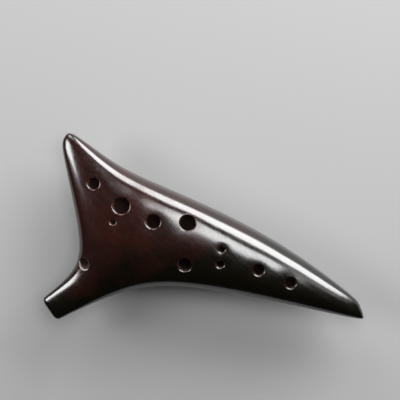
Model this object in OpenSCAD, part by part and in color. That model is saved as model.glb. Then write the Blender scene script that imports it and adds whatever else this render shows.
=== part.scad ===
// Transverse twelve-hole ocarina of fired clay, lying belly down with its finger holes up.
// The body is two pressed half shells luted at the seam. The mouthpiece is a roof slab with the
// windway cut into it, closed by a floor slab, and a labium is let into the belly behind the window.
// +X runs from the head to the tail, -Y is the player's side, +Z is the finger-hole face.
// The origin is under the middle of the body, on the surface that it lies on.

/* [Body] */
// Length from the head tip to the tail tip
body_len = 188; // [176:1:200]
// Height of the finger-hole face above the seam
crown_h = 13; // [11:0.5:15]
// Depth of the belly below the seam
belly_h = 29.5; // [27:0.5:32]
// Thickness of the clay at the seam
wall = 5; // [4:0.25:6]
// Further clay in the middle of the face and of the belly
mid_wall = 2; // [0:0.25:3]
// Solid clay at the head tip
head_solid = 12; // [8:1:18]
// Solid clay at the tail tip
tail_solid = 12; // [8:1:18]
// Radius that rounds the head and tail tips
tip_round = 2.8; // [1.6:0.1:3.2]
// Fullness of the head end
head_cap = 4.7; // [3:0.1:8]
// Fullness of the tail end
tail_cap = 16; // [12:0.2:20]

/* [Mouthpiece] */
// Distance of the mouthpiece end from the seam axis of the body
mouth_reach = 89.7; // [84:0.1:96]
// Distance of the mouthpiece end from the head tip, along the body
mouth_from_head = 41.1; // [36:0.1:48]
// Lean of the mouthpiece towards the head
mouth_turn = 23.8; // [19:0.2:27]
// Width between the straight guides of the mouthpiece's sides at its end
mouth_w = 10; // [9:0.2:13]
// Angle at which the tail side of the mouthpiece flares into the body
mouth_flare = 3; // [1:0.1:7]
// Length of the mouthpiece slabs, from the lips to the face that closes the chamber
beak_len = 40; // [39:0.5:43]
// Thickness of the mouthpiece end, as a share of the body's fullness there
mouth_thin = 0.5; // [0.4:0.02:0.65]
// Distance over which the mouthpiece thickens into the body
mouth_swell = 60; // [50:1:75]

/* [Voicing] */
// Width of the windway, window and labium
windway_w = 8; // [6:0.25:9]
// Height of the windway at the lips
windway_in_h = 2.2; // [1.6:0.1:2.6]
// Height of the windway at the window
windway_out_h = 1.3; // [1:0.1:1.6]
// Clay under the windway at the window
floor_t = 6.5; // [5.5:0.1:7.5]
// Drop of the windway floor below the seam at the lips
windway_drop = 1.5; // [1:0.1:2]
// Opening between the windway exit and the labium edge
window_len = 5.5; // [4:0.25:7]
// Length of the labium ramp
labium_len = 9; // [7:0.25:11]
// Thickness of the labium edge
labium_edge = 0.4; // [0.2:0.1:1]

/* [Finger holes] */
// Left little finger, diameter
hole_l1_d = 6.1; // [4:0.1:9]
// Left ring finger, diameter
hole_l2_d = 8.8; // [4:0.1:11]
// Left middle finger, diameter
hole_l3_d = 7.4; // [4:0.1:11]
// Left index finger, diameter
hole_l4_d = 8.2; // [4:0.1:11]
// Left sub-hole, diameter
hole_ls_d = 2.8; // [2:0.1:5]
// Right index finger, diameter
hole_r1_d = 7.4; // [4:0.1:11]
// Right middle finger, diameter
hole_r2_d = 4.2; // [3:0.1:8]
// Right ring finger, diameter
hole_r3_d = 5.8; // [4:0.1:9]
// Right little finger, diameter
hole_r4_d = 5.8; // [4:0.1:9]
// Right sub-hole, diameter
hole_rs_d = 3; // [2:0.1:5]
// Left thumb hole under the body, diameter
thumb_l_d = 9.2; // [6:0.1:12]
// Right thumb hole under the body, diameter
thumb_r_d = 8; // [6:0.1:12]
// Bevel round each finger hole
hole_bevel = 0.6; // [0.2:0.1:1]

/* [Strap hole] */
// Diameter of the neck-strap hole in the web beside the mouthpiece
strap_d = 4.7; // [3:0.1:5.5]
// Distance of the strap hole from the lips, at the seam
strap_from_lips = 33.4; // [32.8:0.1:34]
// Distance of the strap hole from the mouthpiece axis, at the seam
strap_offset = 11.5; // [10.8:0.1:12]
// Lean of the strap hole, whose lower end goes out towards the head
strap_lean = 15; // [0:1:18]

/* [Hidden] */
clay = "#3a1714";

// Plan outline: straight edges as [x, y, heading] with the clay to the left of the heading.
head_far = [8, 3.7, 171.8];
body_far = [60, 6.3, 193.2];
tail_far = [body_len - 3, 12.4, 171.9];
head_near = [10, -17.6, -44];
tail_near = [body_len - 38, -12.5, 19];
mouth_at = [mouth_from_head, -mouth_reach];
mouth_axis = [sin(mouth_turn), cos(mouth_turn)];
mouth_side = [cos(mouth_turn), -sin(mouth_turn)];
mouth_left_at = mouth_at - mouth_side * mouth_w / 2;
mouth_right_at = mouth_at + mouth_side * mouth_w / 2;
mouth_left = [mouth_left_at[0], mouth_left_at[1], 270 - mouth_turn];
mouth_right = [mouth_right_at[0], mouth_right_at[1], 90 - mouth_turn - mouth_flare];
mouth_end = [mouth_at[0], mouth_at[1], -mouth_turn];
head_end = [-3.9, -1.8, -91];
tail_end = [body_len + 3.6, 0.2, 142.2];

// How softly the edges run into each other
head_blend = 2.9;
shoulder_blend = 11.1;
left_blend = 8.5;
right_blend = 12.1;
mouth_cap = 50;
// Direction in which the strap hole leans, from the mouthpiece axis towards the head
strap_turn = 56;

// Finger holes as [x, y, diameter] in plan
finger_holes = [
    [26.1, -14.9, hole_l1_d], [45.2, -16.5, hole_l2_d], [64.3, -14.1, hole_l3_d], [80.3, -4.5, hole_l4_d],
    [46, -26.5, hole_ls_d], [91.1, -24.8, hole_r1_d], [106.8, -13.8, hole_r2_d], [126, -5.5, hole_r3_d],
    [144.2, -2.4, hole_r4_d], [103.4, -6.7, hole_rs_d]
];
thumb_holes = [[58, -30, thumb_l_d], [104, -19, thumb_r_d]];

// Rays of the surface grid fan out from grid_at through points of this coarse outline.
grid_at = [70, -32.5];
lips_half = mouth_w / 2 + 2;
corners = [
    [0, 0], [body_len - 63, 10.7], [body_len, 0.8], [82, -44],
    mouth_at + mouth_side * lips_half, mouth_at - mouth_side * lips_half, [39.5, -54]
];
steps = [22, 12, 20, 14, 8, 6, 16];
rings = 9;
halvings = 18;
far_off = 260;

function inside(e, p) = (p[1] - e[1]) * cos(e[2]) - (p[0] - e[0]) * sin(e[2]);
function round_max(a, b, c) = (a + b) / 2 + sqrt(pow((a - b) / 2, 2) + c * c);
function round_min(a, b, c) = (a + b) / 2 - sqrt(pow((a - b) / 2, 2) + c * c);

// Square of the fullness at a plan point, for a surface that lies w inside the outline.
// It is a three-sided pillow: high in the middle, nothing on the far, left and right edges,
// and closed off at the head, the tail and the lips, which are drawn in by ends.
function fullness(p, w, ends) = let (
    far = round_min(round_max(inside(head_far, p), inside(body_far, p), head_blend),
        inside(tail_far, p), shoulder_blend) - w,
    left = round_max(inside(head_near, p), inside(mouth_left, p), left_blend) - w,
    right = round_max(inside(mouth_right, p), inside(tail_near, p), right_blend) - w,
    head = inside(head_end, p) - ends[0],
    tail = inside(tail_end, p) - ends[1],
    lips = inside(mouth_end, p) - ends[2]
) min(far, left, right, head, tail, lips) <= 0 ? -1 :
    1 / (1 / (far * left) + 1 / (left * right) + 1 / (far * right)
        + 1 / (head_cap * head) + 1 / (tail_cap * tail) + 1 / (mouth_cap * lips)) - tip_round * tip_round;

// The mouthpiece is thinner than the body and swells into it.
function ease(t) = let (c = min(max(t, 0), 1)) c * c * (3 - 2 * c);
function slimming(p) = mouth_thin + (1 - mouth_thin) * ease(inside(mouth_end, p) / mouth_swell);
function swell(p, w, ends) = slimming(p) * sqrt(max(fullness(p, w, ends), 0));

// Distance along a ray from grid_at to the outline
function reach(dir, w, ends, lo, hi, n) = let (mid = (lo + hi) / 2)
    n == 0 ? mid :
    fullness(grid_at + mid * dir, w, ends) > 0 ? reach(dir, w, ends, mid, hi, n - 1)
        : reach(dir, w, ends, lo, mid, n - 1);

rays = [for (i = [0:len(corners) - 1], j = [0:steps[i] - 1])
    let (t = (1 - cos(180 * j / steps[i])) / 2,
        aim = corners[i] * (1 - t) + corners[(i + 1) % len(corners)] * t - grid_at)
    aim / norm(aim)];
ray_count = len(rays);

// Plan points of a surface grid: the middle, then rings out to the outline
function plan_grid(w, ends) = let (
    radii = [for (d = rays) reach(d, w, ends, 0, far_off, halvings)]
) concat([grid_at], [for (k = [1:rings], i = [0:ray_count - 1])
    grid_at + rays[i] * radii[i] * sin(90 * k / rings)]);

skin_ends = [0, 0, 0];
core_ends = [head_solid, tail_solid, wall];
skin_plan = plan_grid(0, skin_ends);
core_plan = plan_grid(wall, core_ends);
last_ring = 1 + (rings - 1) * ray_count;
peak = max([for (p = skin_plan) swell(p, 0, skin_ends)]);
outline = [for (i = [last_ring:len(skin_plan) - 1]) skin_plan[i]];
plan_mid = [
    (min([for (p = outline) p[0]]) + max([for (p = outline) p[0]])) / 2,
    (min([for (p = outline) p[1]]) + max([for (p = outline) p[1]])) / 2
];

// Heights of the outer skin and of the chamber wall above and below the seam
function skin_z(p, h) = h * swell(p, 0, skin_ends) / peak;
function core_z(p, h) = (h - sign(h) * mid_wall) * swell(p, wall, core_ends) / peak;
function skin_points(h) = [for (i = [0:len(skin_plan) - 1])
    [skin_plan[i][0], skin_plan[i][1], i >= last_ring ? 0 : skin_z(skin_plan[i], h)]];
function core_points(h) = [for (i = [0:len(core_plan) - 1])
    [core_plan[i][0], core_plan[i][1], i >= last_ring ? 0 : core_z(core_plan[i], h)]];

function flip(faces) = [for (f = faces) [f[2], f[1], f[0]]];
// Triangles of one surface grid whose points start at a
function cap_faces(a) = concat(
    [for (i = [0:ray_count - 1]) [a, a + 1 + i, a + 1 + (i + 1) % ray_count]],
    [for (k = [0:rings - 2], i = [0:ray_count - 1], s = [0, 1])
        let (n = (i + 1) % ray_count, b = a + 1 + k * ray_count, c = b + ray_count)
        s == 0 ? [b + i, c + i, c + n] : [b + i, c + n, b + n]]);
// Triangles of the seam between the outlines of the grids that start at a and b
function seam_faces(a, b) = [for (i = [0:ray_count - 1], s = [0, 1])
    let (n = (i + 1) % ray_count)
    s == 0 ? [a + i, b + i, b + n] : [a + i, b + n, a + n]];

// Half shell between the skin and the chamber; h is positive for the face, negative for the belly
module half_shell(h) {
    count = len(skin_plan);
    faces = concat(cap_faces(0), flip(cap_faces(count)), seam_faces(last_ring, count + last_ring));
    polyhedron(concat(skin_points(h), core_points(h)), h > 0 ? faces : flip(faces));
}

// The whole outer form as one solid
module solid_form() {
    count = len(skin_plan);
    belly = skin_points(-belly_h);
    below = [for (i = [0:last_ring - 1]) belly[i]];
    lower = [for (f = cap_faces(count)) [for (v = f) v >= count + last_ring ? v - count : v]];
    polyhedron(concat(skin_points(crown_h), below), concat(cap_faces(0), flip(lower)));
}

// Frame of the mouthpiece: x across it, y from the lips into the body
module at_mouth() {
    translate([mouth_at[0], mouth_at[1], 0]) rotate([0, 0, -mouth_turn]) children();
}
// Prism across the mouthpiece from a side view given as [distance from the lips, height]
module across(w, side_view) {
    at_mouth() rotate([90, 0, 90]) translate([0, 0, -w / 2]) linear_extrude(w) polygon(side_view);
}
// Everything on the lips' side of the joint between mouthpiece and shells
module lips_side() {
    across(far_off, [[-far_off, -far_off], [beak_len, -far_off], [beak_len, far_off], [-far_off, far_off]]);
}

function on_axis(m) = mouth_at + mouth_axis * m;
exit_z = skin_z(on_axis(beak_len), -belly_h) + floor_t;
lips_z = -windway_drop;
windway_slope = (exit_z - lips_z) / beak_len;
overrun = 5;
function floor_z(m) = lips_z + windway_slope * m;
labium_at = beak_len + window_len;
labium_end = labium_at + labium_len;
labium_z = floor_z(labium_at) + windway_out_h / 2;

// Outward normal of the face or belly at a plan point
nudge = 0.05;
function skin_normal(p, h) = let (
    gx = (skin_z(p + [nudge, 0], h) - skin_z(p - [nudge, 0], h)) / (2 * nudge),
    gy = (skin_z(p + [0, nudge], h) - skin_z(p - [0, nudge], h)) / (2 * nudge),
    n = [-gx, -gy, 1] * sign(h)
) n / norm(n);

// Drill and bevel for a hole [x, y, diameter], square to the skin
module drill(hole, h) {
    p = [hole[0], hole[1]];
    n = skin_normal(p, h);
    r = hole[2] / 2;
    translate([p[0], p[1], skin_z(p, h)])
        rotate([0, acos(n[2]), atan2(n[1], n[0])]) {
            translate([0, 0, -3 * wall]) cylinder(h = 4 * wall, r = r, $fn = 48);
            translate([0, 0, -hole_bevel]) cylinder(h = 2 * hole_bevel, r1 = r, r2 = r + 2 * hole_bevel, $fn = 48);
        }
}

// Slanted layer that parts the roof from the floor, with the windway above it
module windway_cut() {
    across(windway_w, [
        [-overrun, floor_z(-overrun) - 1], [beak_len + overrun, floor_z(beak_len + overrun) - 1],
        [beak_len + overrun, floor_z(beak_len + overrun) + windway_out_h],
        [beak_len, exit_z + windway_out_h], [0, lips_z + windway_in_h],
        [-overrun, floor_z(-overrun) + windway_in_h]
    ]);
}
module below_windway() {
    across(far_off, [
        [-far_off, floor_z(-far_off)], [-far_off, -far_off], [far_off, -far_off], [far_off, floor_z(far_off)]
    ]);
}

module beak() {
    intersection() {
        solid_form();
        lips_side();
    }
}

// Finger-hole face of the body
module upper_shell() {
    color(clay) to_origin() difference() {
        half_shell(crown_h);
        lips_side();
        for (hole = finger_holes) drill(hole, crown_h);
    }
}

// Belly of the body, with the thumb holes and the slot for window and labium
module lower_shell() {
    color(clay) to_origin() difference() {
        half_shell(-belly_h);
        lips_side();
        for (hole = thumb_holes) drill(hole, -belly_h);
        across(windway_w, [
            [beak_len - overrun, -2 * belly_h], [labium_end, -2 * belly_h],
            [labium_end, labium_z + overrun], [beak_len - overrun, labium_z + overrun]
        ]);
    }
}

// Leaning drill for the neck strap, through the web between the mouthpiece and the head
module strap_drill() {
    at_mouth() translate([-strap_offset, strap_from_lips, 0])
        rotate([strap_lean, 0, strap_turn])
            cylinder(h = 4 * belly_h, d = strap_d, center = true, $fn = 48);
}

// Upper slab of the mouthpiece, with the windway in its underside and the strap hole in its web
module mouthpiece_roof() {
    color(clay) to_origin() difference() {
        beak();
        below_windway();
        windway_cut();
        strap_drill();
    }
}

// Lower slab of the mouthpiece, which closes the windway
module mouthpiece_floor() {
    color(clay) to_origin() difference() {
        intersection() {
            beak();
            below_windway();
        }
        strap_drill();
    }
}

// Wedge let into the slot of the belly; its edge splits the breath from the windway
module labium() {
    end = on_axis(labium_end);
    color(clay) to_origin() across(windway_w, [
        [labium_at, labium_z + labium_edge / 2], [labium_at, labium_z - labium_edge / 2],
        [labium_end, skin_z(end, -belly_h)], [labium_end, core_z(end, -belly_h)]
    ]);
}

module to_origin() translate([-plan_mid[0], -plan_mid[1], belly_h]) children();

upper_shell();
lower_shell();
mouthpiece_roof();
mouthpiece_floor();
labium();
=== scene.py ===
"""Dark burnished clay ocarina, seen from above its finger-hole face."""

import math

import bmesh
import bpy
import numpy as np
from mathutils import Matrix, Vector
from mathutils.geometry import delaunay_2d_cdt


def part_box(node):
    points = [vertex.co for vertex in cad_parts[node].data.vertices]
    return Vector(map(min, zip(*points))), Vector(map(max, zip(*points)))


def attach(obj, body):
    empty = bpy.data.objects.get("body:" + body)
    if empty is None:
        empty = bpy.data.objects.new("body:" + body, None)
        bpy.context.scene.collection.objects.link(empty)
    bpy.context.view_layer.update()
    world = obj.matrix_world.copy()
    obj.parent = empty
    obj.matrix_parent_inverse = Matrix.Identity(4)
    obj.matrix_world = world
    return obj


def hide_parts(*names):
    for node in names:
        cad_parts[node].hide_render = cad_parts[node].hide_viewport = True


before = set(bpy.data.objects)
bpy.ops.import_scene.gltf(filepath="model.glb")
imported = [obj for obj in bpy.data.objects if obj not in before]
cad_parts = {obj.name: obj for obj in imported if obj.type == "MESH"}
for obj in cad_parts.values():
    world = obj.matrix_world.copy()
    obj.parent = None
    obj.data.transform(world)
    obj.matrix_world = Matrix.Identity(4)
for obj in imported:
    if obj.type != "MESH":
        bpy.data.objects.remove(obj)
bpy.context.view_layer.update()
MM = 0.001

# Upper shell: the half with the finger holes, pressed into a mould from a sheet of dark clay and luted to
# the belly at the seam. It is burnished while leather-hard and smoked in the kiln, so it shines like lacquer.
belly_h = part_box("lower_shell")[1][2] / MM
crown_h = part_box("upper_shell")[1][2] / MM - belly_h
body_len = 188.0
wall = 5.0
mid_wall = 2.0
head_solid = 12.0
tail_solid = 12.0
tip_round = 2.8
head_cap = 4.7
tail_cap = 16.0
mouth_cap = 50.0
mouth_reach = 89.7
mouth_from_head = 41.1
mouth_turn = math.radians(23.8)
mouth_flare = math.radians(3)
mouth_w = 10.0
mouth_thin = 0.5
mouth_swell = 60.0
beak_len = 40.0
lip_round = 2.6

# Plan edges as (x, y, heading in degrees), with the clay to the left of the heading
mouth_at = np.array([mouth_from_head, -mouth_reach])
mouth_axis = np.array([math.sin(mouth_turn), math.cos(mouth_turn)])
mouth_side = np.array([math.cos(mouth_turn), -math.sin(mouth_turn)])
head_far = (8, 3.7, 171.8)
body_far = (60, 6.3, 193.2)
tail_far = (body_len - 3, 12.4, 171.9)
head_near = (10, -17.6, -44)
tail_near = (body_len - 38, -12.5, 19)
mouth_left = (*(mouth_at - mouth_side * mouth_w / 2), 270 - math.degrees(mouth_turn))
mouth_right = (*(mouth_at + mouth_side * mouth_w / 2), 90 - math.degrees(mouth_turn + mouth_flare))
mouth_end = (*mouth_at, -math.degrees(mouth_turn))
head_end = (-3.9, -1.8, -91)
tail_end = (body_len + 3.6, 0.2, 142.2)
head_blend = 2.9
shoulder_blend = 11.1
left_blend = 8.5
right_blend = 12.1

# Finger holes as (x, y, diameter), with the two sub-holes beside the left ring and right middle fingers, and
# thumb holes in the belly. The clay is dished round them, by a share of its height that fades with distance.
finger_holes = [
    (26.1, -14.9, 6.1), (45.2, -16.5, 8.8), (64.3, -14.1, 7.4), (80.3, -4.5, 8.2), (46.0, -26.5, 2.8),
    (91.1, -24.8, 7.4), (106.8, -13.8, 4.2), (126.0, -5.5, 5.8), (144.2, -2.4, 5.8), (103.4, -6.7, 3.0),
]
thumb_holes = [(58.0, -30.0, 9.2), (104.0, -19.0, 8.0)]
dish = 0.035
dish_reach = 0.95

# The outer skin and the chamber wall, each as (inset of its outline, inset of its head, tail and lips)
SKIN = (0.0, (0.0, 0.0, 0.0))
CORE = (wall, (head_solid, tail_solid, wall))


def edge_distance(edge, x, y):
    """Distance of plan points from a straight edge, positive on the clay's side."""
    heading = math.radians(edge[2])
    return (y - edge[1]) * math.cos(heading) - (x - edge[0]) * math.sin(heading)


def soft_max(a, b, blend):
    """The larger of two distances, rounded where they cross."""
    return (a + b) / 2 + np.sqrt(((a - b) / 2) ** 2 + blend ** 2)


def soft_min(a, b, blend):
    """The smaller of two distances, rounded where they cross."""
    return (a + b) / 2 - np.sqrt(((a - b) / 2) ** 2 + blend ** 2)


def fullness(x, y, layer):
    """Square of the pillow's fullness over the plan.

    With the distances from the far, left and right edges it is one over the sum of their inverse products in
    pairs, closed off at the head, the tail and the lips, less the square of the tip rounding.
    """
    inset, ends = layer
    head_and_body = soft_max(edge_distance(head_far, x, y), edge_distance(body_far, x, y), head_blend)
    far = soft_min(head_and_body, edge_distance(tail_far, x, y), shoulder_blend) - inset
    left = soft_max(edge_distance(head_near, x, y), edge_distance(mouth_left, x, y), left_blend) - inset
    right = soft_max(edge_distance(mouth_right, x, y), edge_distance(tail_near, x, y), right_blend) - inset
    head = edge_distance(head_end, x, y) - ends[0]
    tail = edge_distance(tail_end, x, y) - ends[1]
    lips = edge_distance(mouth_end, x, y) - ends[2]
    with np.errstate(all="ignore"):
        closing = 1 / (head_cap * head) + 1 / (tail_cap * tail) + 1 / (mouth_cap * lips)
        pillow = 1 / (1 / (far * left) + 1 / (left * right) + 1 / (far * right) + closing) - tip_round ** 2
    return np.where(np.minimum.reduce([far, left, right, head, tail, lips]) > 0, pillow, -1.0)


def swell(x, y, layer):
    """Fullness with the mouthpiece slimmed: an eased share from mouth_thin at the lips to 1 in the body."""
    share = np.clip(edge_distance(mouth_end, x, y) / mouth_swell, 0, 1)
    slimming = mouth_thin + (1 - mouth_thin) * share ** 2 * (3 - 2 * share)
    return slimming ** 2 * fullness(x, y, layer)


# The pillow is highest somewhere in the middle of the body.
middle_x, middle_y = np.meshgrid(np.arange(40, 110, 0.25), np.arange(-40, 0, 0.25))
peak = math.sqrt(swell(middle_x, middle_y, SKIN).max())


def lift(x, y, layer, height):
    """Height of a layer over the seam: the face for a positive height, the belly for a negative one.

    The chamber's peak is lower than the skin's by mid_wall. At a distance r from a hole of diameter d, the
    skin keeps a share of 1 - dish exp(-(r / (dish_reach d))^2) of its height.
    """
    if layer == CORE:
        top = height - math.copysign(mid_wall, height)
    else:
        top = height
        for hole_x, hole_y, diameter in finger_holes if height > 0 else thumb_holes:
            away = ((x - hole_x) ** 2 + (y - hole_y) ** 2) / (dish_reach * diameter) ** 2
            top = top - height * dish * np.exp(-away)
    return top / peak * np.sqrt(np.maximum(swell(x, y, layer), 0))


slope_step = 0.01


def slope(surface, x, y):
    """Gradient over the plan of a function of x and y, from its differences over small steps."""
    across = surface(x + slope_step, y) - surface(x - slope_step, y)
    along = surface(x, y + slope_step) - surface(x, y - slope_step)
    return np.stack([across, along], axis=-1) / (2 * slope_step)


def skin_slope(x, y, height):
    """Gradient over the plan of the square of the skin's height, which stays finite at the outline."""
    return slope(lambda u, v: lift(u, v, SKIN, height) ** 2, x, y)


def skin_normal(x, y, z, height):
    """Unit normal of the skin, from the gradient of z squared less the square of the skin's height."""
    normal = np.concatenate([-skin_slope(x, y, height), np.expand_dims(2 * z, -1)], axis=-1)
    return normal / np.linalg.norm(normal, axis=-1, keepdims=True)


# The plan is seen from one hub, from which every part of the outline is in sight. Rays from it set the
# points of the outline, closer together at the lips, and the steep rim is stretched for an even lattice.
plan_hub = np.array([70.0, -32.5])
beyond_plan = 260.0
halvings = 40
ray_step = 0.7
trial_rays = 20001
lip_zone = 4.0
lip_closeness = 2.5
rim_start = 0.85
rim_clearance = 0.5


def on_rays(angle, reach):
    """Plan points at a distance from the hub along each angle."""
    return plan_hub + np.stack([reach * np.cos(angle), reach * np.sin(angle)], axis=-1)


def outline_reach(angle, layer):
    """Distance from the hub to the outline at each angle, found by halving a bracket."""
    low = np.zeros_like(angle)
    high = np.full_like(angle, beyond_plan)
    for _ in range(halvings):
        mid = (low + high) / 2
        within = fullness(*on_rays(angle, mid).T, layer) > 0
        low = np.where(within, mid, low)
        high = np.where(within, high, mid)
    return low


def even_rays():
    """Ray angles whose outline points lie an even step apart along the skin's outline.

    A length in the lip zone counts more, by lip_closeness, so the rays are closer together there.
    """
    angle = np.linspace(-math.pi, math.pi, trial_rays)
    x, y = on_rays(angle, outline_reach(angle, SKIN)).T
    weight = np.where(edge_distance(mouth_end, x, y) < lip_zone, lip_closeness, 1)
    run = np.concatenate([[0], (np.hypot(np.diff(x), np.diff(y)) * weight[1:]).cumsum()])
    count = round(run[-1] / ray_step)
    return np.interp(np.linspace(0, run[-1], count, endpoint=False), run, angle)


rays = even_rays()
outline_points = on_rays(rays, outline_reach(rays, SKIN))

# The reach of both outlines at every eighth of a degree
table_angle = np.linspace(-math.pi, math.pi, 8 * 360 + 1)
table_reach = {layer: outline_reach(table_angle, layer) for layer in (SKIN, CORE)}


def way_out(points, layer):
    """Offsets of plan points from the hub, the outline's reach there and their share of it, never quite 0."""
    offset = points - plan_hub
    reach = np.interp(np.arctan2(offset[:, 1], offset[:, 0]), table_angle, table_reach[layer])
    return offset, reach, np.maximum(np.hypot(*offset.T) / reach, 1e-9)


def stretched(points, layer):
    """Plan points moved out along their rays, so that even steps there are even steps up the steep rim.

    Past the share s = rim_start, a share t becomes s + 2 (1 - s) (1 - sqrt((1 - t) / (1 - s))).
    """
    offset, _, share = way_out(points, layer)
    share = np.minimum(share, 1)
    rim = rim_start + 2 * (1 - rim_start) * (1 - np.sqrt((1 - share) / (1 - rim_start)))
    return plan_hub + offset * (np.where(share < rim_start, share, rim) / share)[:, None]


def relaxed(points, layer):
    """Undoes the stretching, and says which points lie clear of the outline."""
    offset, reach, share = way_out(points, layer)
    rim = 1 - (1 - rim_start) * (1 - (share - rim_start) / (2 * (1 - rim_start))) ** 2
    clear = (2 - rim_start - share) * reach > rim_clearance
    return plan_hub + offset * (np.where(share < rim_start, share, rim) / share)[:, None], clear


def within_loop(points, loop):
    """Even-odd test of points against a closed loop."""
    inside = np.zeros(len(points), bool)
    for a, b in zip(loop, np.roll(loop, -1, axis=0)):
        crosses = (a[1] > points[:, 1]) != (b[1] > points[:, 1])
        if crosses.any():
            along = (points[:, 1] - a[1]) / (b[1] - a[1])
            inside ^= crosses & (points[:, 0] < a[0] + along * (b[0] - a[0]))
    return inside


few_points = 40


def gap_to(points, others):
    """Distance from each point to the nearest of the others, worked out for a few of them at a time."""
    gap = np.full(len(points), np.inf)
    for few in np.array_split(others, len(others) // few_points + 1):
        away = np.linalg.norm(points[:, None] - few[None], axis=2)
        gap = np.minimum(gap, away.min(axis=1, initial=np.inf))
    return gap


def lattice_over(low, high, spacing):
    """Points of an even lattice of equal-sided triangles over a plan rectangle."""
    columns, rows = np.meshgrid(
        np.arange(low[0], high[0], spacing), np.arange(low[1], high[1], spacing * math.sqrt(0.75)))
    columns = columns + (np.arange(len(rows)) % 2 * spacing / 2)[:, None]
    return np.stack([columns.ravel(), rows.ravel()], axis=1)


skin_spacing = 1.0
core_spacing = 2.2
loop_clearance = 0.7
tie_gap = 1e-7


def sheet(layer, height, loops, guards, spacing):
    """One side of a layer, with the given loops left open.

    A lattice in the stretched plan, the outline and the loops are joined by Delaunay triangles and lifted to
    the layer's height. Guards are extra points round the loops. Returns points and triangles.
    """
    outline = on_rays(rays, outline_reach(rays, layer))
    # the outline is stretched by the full amount, as its points have a share of one
    rims = [plan_hub + (outline - plan_hub) * (2 - rim_start)] + [stretched(loop, layer) for loop in loops]

    def on_clay(points):
        """Which points lie within the outline and in none of the loops."""
        inside = within_loop(points, rims[0])
        for loop in rims[1:]:
            inside &= ~within_loop(points, loop)
        return inside

    def usable(points):
        """The points on the clay that keep clear of the outline."""
        points = points[relaxed(points, layer)[1]]
        return points[on_clay(points)]

    guarding = np.concatenate([np.empty((0, 2))] + [stretched(ring, layer) for ring in guards])
    lattice = usable(lattice_over(rims[0].min(axis=0), rims[0].max(axis=0), spacing))
    gap = gap_to(lattice, np.concatenate(rims[1:] + [guarding]))
    free = np.concatenate([usable(guarding), lattice[gap > spacing * loop_clearance]])
    points = np.concatenate(rims + [free])
    edges = []
    for loop in rims:
        i = np.arange(len(loop))
        edges += (len(edges) + np.stack([i, (i + 1) % len(loop)], axis=1)).tolist()
    _, _, faces, origin, _, _ = delaunay_2d_cdt([Vector(p) for p in points], edges, [], 0, tie_gap)
    triangles = np.array([sources[0] for sources in origin])[np.array(faces)]
    triangles = triangles[on_clay(points[triangles].mean(axis=1))]
    plan = np.concatenate([outline, *loops, relaxed(free, layer)[0]])
    z = lift(*plan.T, layer, height)
    z[:len(outline)] = 0
    return np.column_stack([plan, z]), triangles


newton_steps = 25


def slid_onto(points, axis, layer, height):
    """Points moved along an axis until they lie on a layer, by Newton steps."""
    points = points.copy()
    for _ in range(newton_steps):
        x, y, z = points.T
        climb = axis[2] - slope(lambda u, v: lift(u, v, layer, height), x, y) @ axis[:2]
        points -= ((z - lift(x, y, layer, height)) / climb)[:, None] * axis
    return points


hole_round = 0.9
round_steps = 6
guard_gaps = (0.45, 1.0)


def hole_mouth(at, radius, round_over, axis, height, count):
    """Rings of a hole's mouth in the skin, from its surface over a rounded edge to the bore's wall.

    A ring at angle a has the radius r + f - f sin a and lies f - f cos a under the surface, for a from 0 to
    90 degrees. Also returns plan rings round it that guard the mesh.
    """
    centre = np.array([*at, lift(*at, SKIN, height)])
    across = np.cross(axis, [0.0, 1.0, 0.0])
    across /= np.linalg.norm(across)
    along = np.cross(axis, across)
    turn = np.linspace(0, 2 * math.pi, count, endpoint=False)
    spoke = np.cos(turn)[:, None] * across + np.sin(turn)[:, None] * along
    rings = []
    for a in np.linspace(0, math.pi / 2, round_steps + 1):
        ring = slid_onto(centre + spoke * (radius + round_over * (1 - math.sin(a))), axis, SKIN, height)
        rings.append(ring - axis * round_over * (1 - math.cos(a)))
    guards = [slid_onto(centre + spoke * (radius + round_over + gap), axis, SKIN, height)[:, :2]
              for gap in guard_gaps]
    return rings, guards


def bands(rings):
    """Points and quads of closed rings joined one after the other."""
    count = len(rings[0])
    i = np.arange(count)
    quads = [np.stack([k * count + i, k * count + (i + 1) % count,
                       (k + 1) * count + (i + 1) % count, (k + 1) * count + i], axis=1)
             for k in range(len(rings) - 1)]
    return np.concatenate(rings), np.concatenate(quads)


plan_mid = (outline_points.min(axis=0) + outline_points.max(axis=0)) / 2
weld_gap = 0.002 * MM
cut_gap = 0.0005 * MM


def row_frame(points):
    """Drawing millimetres to metres in the row frame."""
    return (np.asarray(points) + [-plan_mid[0], -plan_mid[1], belly_h]) * MM


def drawing(points):
    """Metres in the row frame to drawing millimetres."""
    return np.asarray(points) / MM + [plan_mid[0], plan_mid[1], -belly_h]


def shaped(points, faces):
    """A bmesh of drawing points and faces, with the faces turned outwards once shared points are merged."""
    mesh = bpy.data.meshes.new("shape")
    mesh.from_pydata(row_frame(points).tolist(), [], faces)
    body = bmesh.new()
    body.from_mesh(mesh)
    bpy.data.meshes.remove(mesh)
    bmesh.ops.remove_doubles(body, verts=body.verts, dist=weld_gap)
    bmesh.ops.recalc_face_normals(body, faces=body.faces)
    return body


def welded(blocks):
    """One closed mesh from blocks of points and faces that share their rims."""
    starts = np.cumsum([0] + [len(points) for points, _ in blocks])
    faces = [face for start, (_, own) in zip(starts, blocks) for face in (own + start).tolist()]
    return shaped(np.concatenate([points for points, _ in blocks]), faces)


def sliced(body, point, normal):
    """Cuts a closed mesh by a plane, drops what lies on the normal's side and closes the cut."""
    bmesh.ops.bisect_plane(body, geom=body.verts[:] + body.edges[:] + body.faces[:], dist=cut_gap,
                           plane_co=point, plane_no=normal, clear_outer=True)
    rim = [edge for edge in body.edges if edge.is_boundary]
    filled = bmesh.ops.holes_fill(body, edges=rim, sides=0)["faces"]
    bmesh.ops.triangulate(body, faces=filled)
    bmesh.ops.recalc_face_normals(body, faces=body.faces)
    return body


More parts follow.
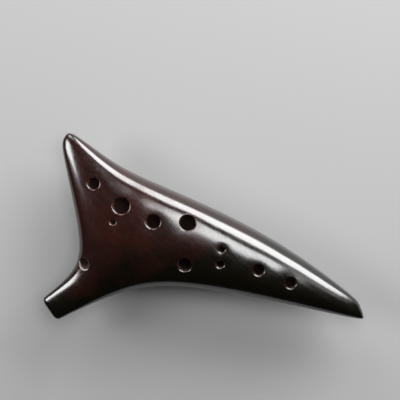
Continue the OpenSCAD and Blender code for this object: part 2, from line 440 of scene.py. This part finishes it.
def joint_plane(sign):
    """The flat joint between the shells and the mouthpiece; its normal points into the body for +1."""
    point = row_frame([*(mouth_at + mouth_axis * beak_len), 0])
    return Vector(point), Vector((*(mouth_axis * sign), 0))


def skin_depth(x, y, z):
    """About how far points lie from the skin of their side, the face or the belly.

    It is the rest of the skin's equation, z^2 less its height squared, over the length of its gradient.
    """
    sides = []
    for height in (crown_h, -belly_h):
        rest = np.abs(z ** 2 - lift(x, y, SKIN, height) ** 2)
        sides.append(rest / np.hypot(np.linalg.norm(skin_slope(x, y, height), axis=-1), 2 * z))
    return np.where(z >= 0, *sides)


def gathered(things, key, width, kind=float):
    """One property of all vertices, corners or faces of a mesh, a row for each."""
    values = np.empty(len(things) * width, kind)
    things.foreach_get(key, values)
    return values.reshape(-1, width)


skin_tolerance = 0.03
wear_depth = 0.12
raw_depth = hole_round + 0.2
crease = math.radians(40)
same_way = 0.75


def burnished(mesh):
    """Smooth shading whose normals on the skin come from the formula, so that joints of the skin don't show.

    Faces deeper than the rounded edges of the holes get the second material, the raw clay, and these edges,
    where fingers and the strap rub, get the third, the worn clay. The rounded lips keep the mesh's normals.
    """
    x, y, z = drawing(gathered(mesh.polygons, "center", 3)).T
    depth = skin_depth(x, y, z)
    rubbed = (depth > wear_depth) & (edge_distance(mouth_end, x, y) > lip_round)
    mesh.polygons.foreach_set("material_index", np.select([depth > raw_depth, rubbed], [1, 2], 0))
    mesh.polygons.foreach_set("use_smooth", np.ones(len(mesh.polygons), bool))
    mesh.set_sharp_from_angle(angle=crease)

    x, y, z = drawing(gathered(mesh.vertices, "co", 3)).T
    sides = [skin_normal(x, y, z, height) for height in (crown_h, -belly_h)]
    normal = np.where(z[:, None] >= 0, *sides)
    on_skin = (skin_depth(x, y, z) < skin_tolerance) & (edge_distance(mouth_end, x, y) > lip_round)
    corner = gathered(mesh.loops, "vertex_index", 1, int)[:, 0]
    corners_of_face = gathered(mesh.polygons, "loop_total", 1, int)[:, 0]
    facing = np.repeat(gathered(mesh.polygons, "normal", 3), corners_of_face, axis=0)
    use = on_skin[corner] & ((normal[corner] * facing).sum(axis=1) > same_way)
    mesh.normals_split_custom_set(np.where(use[:, None], normal[corner], 0).tolist())


def finished_piece(name, body):
    """A bmesh made into an object at the origin, polished on the skin, raw inside and worn on the edges."""
    mesh = bpy.data.meshes.new(name)
    body.to_mesh(mesh)
    body.free()
    for finish in (polished_clay, raw_clay, worn_clay):
        mesh.materials.append(finish)
    burnished(mesh)
    piece = bpy.data.objects.new(name, mesh)
    bpy.context.scene.collection.objects.link(piece)
    return piece


def clay(name, dark, light, roughness, index, grain):
    """A clay material: mottled between two colours, with a range of roughness, a refractive index, a grain.

    The mottle is shifted to dark towards the tail, the mouthpiece and the near side, and to light towards the
    head and the far side. This is painted shade and painted light for lamps that light the far side, not a
    tone of the clay.
    """
    material = bpy.data.materials.new(name)
    material.use_nodes = True
    nodes, links = material.node_tree.nodes, material.node_tree.links
    shader = nodes["Principled BSDF"]
    shader.inputs["IOR"].default_value = index
    place = nodes.new("ShaderNodeTexCoord").outputs["Object"]

    def noise(scale, detail, squeeze=(1, 1, 1)):
        """Noise over the object, turned to the body's run, with streaks where it is squeezed."""
        mapping = nodes.new("ShaderNodeMapping")
        mapping.inputs["Rotation"].default_value = (0, 0, 0.35)
        mapping.inputs["Scale"].default_value = squeeze
        links.new(place, mapping.inputs["Vector"])
        texture = nodes.new("ShaderNodeTexNoise")
        texture.inputs["Scale"].default_value = scale
        texture.inputs["Detail"].default_value = detail
        links.new(mapping.outputs["Vector"], texture.inputs["Vector"])
        return texture.outputs["Fac"]

    def spread(source, low, high, to_low, to_high):
        """A value carried from one range to another."""
        spreading = nodes.new("ShaderNodeMapRange")
        for end, value in zip(("From Min", "From Max", "To Min", "To Max"), (low, high, to_low, to_high)):
            spreading.inputs[end].default_value = value
        links.new(source, spreading.inputs["Value"])
        return spreading

    def relief(height, strength, distance):
        """Fine relief of a height, as a bump."""
        raised = nodes.new("ShaderNodeBump")
        raised.inputs["Strength"].default_value = strength
        raised.inputs["Distance"].default_value = distance
        links.new(height, raised.inputs["Height"])
        return raised

    mottle = nodes.new("ShaderNodeValToRGB")
    for element, position, colour in zip(mottle.color_ramp.elements, (0.32, 0.7), (dark, light)):
        element.position = position
        element.color = (*colour, 1)
    # painted shade: the mottle darkens towards the tail and the near side and lightens towards the far side
    toward_painted_light = nodes.new("ShaderNodeVectorMath")
    toward_painted_light.operation = "DOT_PRODUCT"
    toward_painted_light.inputs[1].default_value = (-0.75, 0.66, 0)
    links.new(place, toward_painted_light.inputs[0])
    # metres that way, from the most painted shade to none, and the shift of the mottle there
    painted_shade_shift = spread(toward_painted_light.outputs["Value"], -0.004, 0.049, -0.3, 0.17)
    painted_shade_shift.interpolation_type = "SMOOTHSTEP"
    shade = nodes.new("ShaderNodeMath")
    blotches = noise(45, 6)
    links.new(blotches, shade.inputs[0])
    links.new(painted_shade_shift.outputs["Result"], shade.inputs[1])
    links.new(shade.outputs["Value"], mottle.inputs["Fac"])
    links.new(mottle.outputs["Color"], shader.inputs["Base Color"])

    rub = nodes.new("ShaderNodeMath")
    rub.operation = "MULTIPLY_ADD"
    strokes, specks = noise(160, 5, (1, 4, 2)), noise(2200, 3)
    links.new(strokes, rub.inputs[0])
    rub.inputs[1].default_value = 0.35
    links.new(specks, rub.inputs[2])
    gloss = spread(rub.outputs["Value"], 0.47, 0.88, *roughness)
    links.new(gloss.outputs["Result"], shader.inputs["Roughness"])

    hand = relief(noise(55, 1), 0.25, 0.0008)
    pores = relief(noise(700, 4, (1, 3, 2)), grain, 0.0003)
    links.new(hand.outputs["Normal"], pores.inputs["Normal"])
    links.new(pores.outputs["Normal"], shader.inputs["Normal"])
    return material


polished_clay = clay(
    "polished_clay", (0.0029, 0.0019, 0.0003), (0.0235, 0.0047, 0.0029), (0.1, 0.27), 1.9, 0.05)
raw_clay = clay("raw_clay", (0.036, 0.019, 0.013), (0.064, 0.034, 0.024), (0.65, 0.8), 1.4, 0.35)
worn_clay = clay("worn_clay", (0.024, 0.007, 0.0045), (0.055, 0.016, 0.01), (0.14, 0.26), 1.9, 0.08)
small_hole = 5.0
hole_sides = 72
small_hole_sides = 44
edge_share = 0.3


def drilled(holes, height):
    """Bores square to the skin, each a stack of rings from the skin to the chamber, with its guard rings."""
    bores = []
    for x, y, diameter in holes:
        axis = skin_normal(x, y, lift(x, y, SKIN, height), height)
        count = hole_sides if diameter > small_hole else small_hole_sides
        round_over = min(hole_round, diameter * edge_share)
        rings, guards = hole_mouth((x, y), diameter / 2, round_over, axis, height, count)
        inner = slid_onto(rings[-1], axis, CORE, height)
        bores.append((rings + [(rings[-1] + inner) / 2, inner], guards))
    return bores


def half_shell(bores, height, slots=()):
    """A closed half shell: skin, chamber wall, bores, slots cut straight up and the flat seam."""
    slots = list(slots)
    loops = [rings[0][:, :2] for rings, _ in bores] + slots
    skin = sheet(SKIN, height, loops, [ring for _, guards in bores for ring in guards], skin_spacing)
    core = sheet(CORE, height, [rings[-1][:, :2] for rings, _ in bores] + slots, [], core_spacing)
    blocks = [skin, core] + [bands(rings) for rings, _ in bores]
    for slot in slots:
        walls = [np.column_stack([slot, lift(*slot.T, layer, height)]) for layer in (SKIN, CORE)]
        blocks.append(bands(walls))
    outlines = [points[:len(rays)] for points, _ in (skin, core)]
    return welded(blocks + [bands(outlines)])


upper = sliced(half_shell(drilled(finger_holes, crown_h), crown_h), *joint_plane(-1))
upper_clay = finished_piece("upper_shell_clay", upper)
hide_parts("upper_shell")
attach(upper_clay, "root")

# Lower shell: the belly half, pressed and burnished like the face. It has the two thumb holes, and the slot
# in which the window and the labium sit is cut straight through it behind the mouthpiece.
windway_w = 8.0
window_len = 5.5
labium_len = 9.0
slot_lead = 2.0
slot_step = 0.7


def slot_loop(start, end):
    """Plan rectangle across the mouthpiece axis from one distance to another, in short steps."""
    half = windway_w / 2
    corners = [(-half, start), (half, start), (half, end), (-half, end), (-half, start)]
    sides = []
    for a, b in zip(corners, corners[1:]):
        count = round(math.dist(a, b) / slot_step)
        sides.append(np.linspace(a, b, count, endpoint=False))
    loop = np.concatenate(sides)
    return mouth_at + loop[:, :1] * mouth_side + loop[:, 1:] * mouth_axis


slot = slot_loop(beak_len - slot_lead, beak_len + window_len + labium_len)
lower = sliced(half_shell(drilled(thumb_holes, -belly_h), -belly_h, [slot]), *joint_plane(-1))
lower_clay = finished_piece("lower_shell_clay", lower)
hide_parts("lower_shell")
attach(lower_clay, "root")

# Mouthpiece: an upper slab with the windway cut into its underside and the strap hole drilled through its
# web, and a thin floor slab that closes the windway. Both are luted to the shells and burnished with them.
strap_d = 4.7
strap_from_lips = 33.4
strap_offset = 11.5
strap_lean = math.radians(15)
strap_turn = math.radians(56)
strap_round = 1.2
strap_sides = 64
lip_press = 0.4
lip_depth = 5.0
lip_guard_shares = np.linspace(0.06, 0.7, 12)
windway_in_h = 2.2
windway_out_h = 1.3
windway_drop = 1.5
floor_t = 6.5
exit_z = lift(*(mouth_at + mouth_axis * beak_len), SKIN, -belly_h) + floor_t
windway_slope = (exit_z + windway_drop) / beak_len
lip_rim = outline_points[edge_distance(mouth_end, *outline_points.T) < lip_depth]
lip_start = edge_distance(mouth_end, *lip_rim.T).min()
lip_across = (lip_rim - mouth_at) @ mouth_side
lip_mid = (lip_across.max() + lip_across.min()) / 2
lip_half = (lip_across.max() - lip_across.min()) / 2


def soft_lips(points):
    """Skin points with the corners of the lips rounded, as rubbing and the player's mouth leave them.

    At a distance t of less than r from the end, each side draws in by r - sqrt(r^2 - (r - t)^2), and the
    height by a share of that.
    """
    run = (points[:, :2] - mouth_at) @ mouth_axis
    short = np.clip(lip_round + lip_start - run, 0, lip_round)
    inset = (lip_round - np.sqrt(lip_round ** 2 - short ** 2)) / lip_half
    side = (points[:, :2] - mouth_at) @ mouth_side
    side = lip_mid + (side - lip_mid) * (1 - inset)
    plan = mouth_at + side[:, None] * mouth_side + run[:, None] * mouth_axis
    return np.column_stack([plan, points[:, 2] * (1 - lip_press * inset)])


def lip_guards():
    """Plan rings inside the rim of the lips, closest together at the rim, that keep the mesh fine there."""
    hub = mouth_at + mouth_side * lip_mid + mouth_axis * lip_half
    return [hub + (lip_rim - hub) * (1 - share ** 2) for share in lip_guard_shares]


def beak():
    """The whole skin as one closed solid with the leaning strap hole through it, cut off at the joint."""
    pivot = mouth_at + mouth_axis * strap_from_lips - mouth_side * strap_offset
    turn = strap_turn - mouth_turn
    lean = math.sin(strap_lean)
    up = np.array([lean * math.sin(turn), -lean * math.cos(turn), math.cos(strap_lean)])
    mouths, skins = [], []
    for axis, height in ((up, crown_h), (-up, -belly_h)):
        at = slid_onto(np.array([[*pivot, 0.0]]), up, SKIN, height)[0, :2]
        rings, guards = hole_mouth(at, strap_d / 2, strap_round, axis, height, strap_sides)
        points, triangles = sheet(SKIN, height, [rings[0][:, :2]], guards + lip_guards(), skin_spacing)
        mouths.append(rings)
        skins.append((soft_lips(points), triangles))
    # the belly's rings run the other way round, and from half a turn on
    above, below = mouths
    below = [np.roll(ring[::-1], strap_sides // 2 + 1, axis=0) for ring in below]
    return sliced(welded(skins + [bands(above + below[::-1])]), *joint_plane(1))


def across_mouth(side_view, width):
    """Prism across the mouthpiece from a side view of (distance from the lips, height)."""
    run, z = np.array(side_view).T
    middle = mouth_at + run[:, None] * mouth_axis
    ends = [np.column_stack([middle + mouth_side * half, z]) for half in (-width / 2, width / 2)]
    points, sides = bands(ends)
    corners = np.arange(len(points)).reshape(2, -1)
    return shaped(points, sides.tolist() + corners.tolist())


def carved(body, cutter):
    """A closed mesh less another one."""
    objects = []
    for name, part in (("body", body), ("cutter", cutter)):
        mesh = bpy.data.meshes.new(name)
        part.to_mesh(mesh)
        part.free()
        objects.append(bpy.data.objects.new(name, mesh))
        bpy.context.scene.collection.objects.link(objects[-1])
    cut = objects[0].modifiers.new("cut", "BOOLEAN")
    cut.operation = "DIFFERENCE"
    cut.solver = "EXACT"
    cut.object = objects[1]
    result = bmesh.new()
    result.from_mesh(objects[0].evaluated_get(bpy.context.evaluated_depsgraph_get()).to_mesh())
    for thing in objects:
        mesh = thing.data
        bpy.data.objects.remove(thing)
        bpy.data.meshes.remove(mesh)
    bmesh.ops.triangulate(result, faces=[face for face in result.faces if len(face.verts) > 4])
    return result


def windway_floor(m):
    """Height of the windway's floor at a distance from the lips."""
    return -windway_drop + windway_slope * m


# The groove runs on past both ends of the slab and below the floor, so that it cuts clean through.
cut_past = 5.0
cut_below = 1.0
groove_end = beak_len + cut_past
groove = across_mouth([
    (-cut_past, windway_floor(-cut_past) - cut_below), (groove_end, windway_floor(groove_end) - cut_below),
    (groove_end, windway_floor(groove_end) + windway_out_h), (beak_len, exit_z + windway_out_h),
    (0, windway_in_h - windway_drop), (-cut_past, windway_floor(-cut_past) + windway_in_h),
], windway_w)
floor_point = Vector(row_frame([*mouth_at, windway_floor(0)]))
floor_up = Vector((-windway_slope * mouth_axis[0], -windway_slope * mouth_axis[1], 1)).normalized()
roof_body = carved(sliced(beak(), floor_point, -floor_up), groove)
roof_clay = finished_piece("mouthpiece_roof_clay", roof_body)
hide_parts("mouthpiece_roof")
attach(roof_clay, "root")
floor_clay = finished_piece("mouthpiece_floor_clay", sliced(beak(), floor_point, floor_up))
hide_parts("mouthpiece_floor")
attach(floor_clay, "root")

# Labium: a clay wedge let into the slot of the belly. Its sharp edge stands in line with the windway and is
# cut with a knife after the polish, so it is duller than the skin.
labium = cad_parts["labium"]
labium.data.materials.clear()
cut_clay = clay("cut_clay", (0.03, 0.011, 0.008), (0.055, 0.021, 0.015), (0.5, 0.65), 1.5, 0.2)
labium.data.materials.append(cut_clay)

# Studio: a plain pale floor under the belly, soft lamps on the far side and over the head, and a camera
# that looks down on the face, turned so that the body runs down to the right.
floor_half = 3.0
floor_mesh = bpy.data.meshes.new("floor_sheet")
floor_mesh.from_pydata(
    [(-floor_half, -floor_half, 0), (floor_half, -floor_half, 0), (floor_half, floor_half, 0),
     (-floor_half, floor_half, 0)], [], [(0, 1, 2, 3)])
floor_sheet = bpy.data.objects.new("floor_sheet", floor_mesh)
bpy.context.scene.collection.objects.link(floor_sheet)
paper = bpy.data.materials.new("pale_paper")
paper.use_nodes = True
paper.node_tree.nodes["Principled BSDF"].inputs["Base Color"].default_value = (0.4, 0.4, 0.4, 1)
paper.node_tree.nodes["Principled BSDF"].inputs["Roughness"].default_value = 0.9
floor_mesh.materials.append(paper)

world = bpy.data.worlds.new("studio")
bpy.context.scene.world = world
world.use_nodes = True
world.node_tree.nodes["Background"].inputs["Color"].default_value = (1, 1, 1, 1)
world.node_tree.nodes["Background"].inputs["Strength"].default_value = 0.01
lamp_aim = Vector((0, 0, 0.03))


def lamp(name, place, size, power):
    """A rectangular lamp at a place, turned towards the body, with its width across and its height along."""
    light = bpy.data.lights.new(name, "AREA")
    light.shape = "RECTANGLE"
    light.size, light.size_y = size
    light.energy = power
    holder = bpy.data.objects.new(name, light)
    holder.location = place
    holder.rotation_euler = (lamp_aim - Vector(place)).to_track_quat("-Z", "Y").to_euler()
    bpy.context.scene.collection.objects.link(holder)


lamp("far_panel", (0.05, 1.0, 0.4), (0.8, 0.75), 18.5)
lamp("high_panel", (0.015, 0.345, 0.965), (0.42, 0.36), 3.9)
lamp("head_panel", (-0.77, -0.21, 0.64), (0.38, 0.36), 4.2)
lamp("corner_panel", (-0.69, 0.58, 0.45), (0.5, 0.4), 3.1)
lamp("tail_panel", (0.31, 0.59, 0.77), (0.3, 0.25), 0.31)

view_tilt = math.radians(10)
view_distance = 0.9
photo_scale = 0.541 * MM
photo_px = 400
photo_middle = Vector(row_frame([79.3, 7.5, 0]))
photo_up = Vector((-0.532, 0.847, 0))
camera_data = bpy.data.cameras.new("photo_view")
camera_data.sensor_fit = "HORIZONTAL"
camera_data.angle = 2 * math.atan(photo_px / 2 * photo_scale / view_distance)
camera = bpy.data.objects.new("photo_view", camera_data)
back = Vector((0, math.sin(view_tilt), math.cos(view_tilt)))
right = photo_up.cross(back).normalized()
up = back.cross(right)
camera.matrix_world = (Matrix.Translation(photo_middle + back * view_distance)
                       @ Matrix((right, up, back)).transposed().to_4x4())
bpy.context.scene.collection.objects.link(camera)
bpy.context.scene.camera = camera
bpy.context.scene.view_settings.view_transform = "Standard"
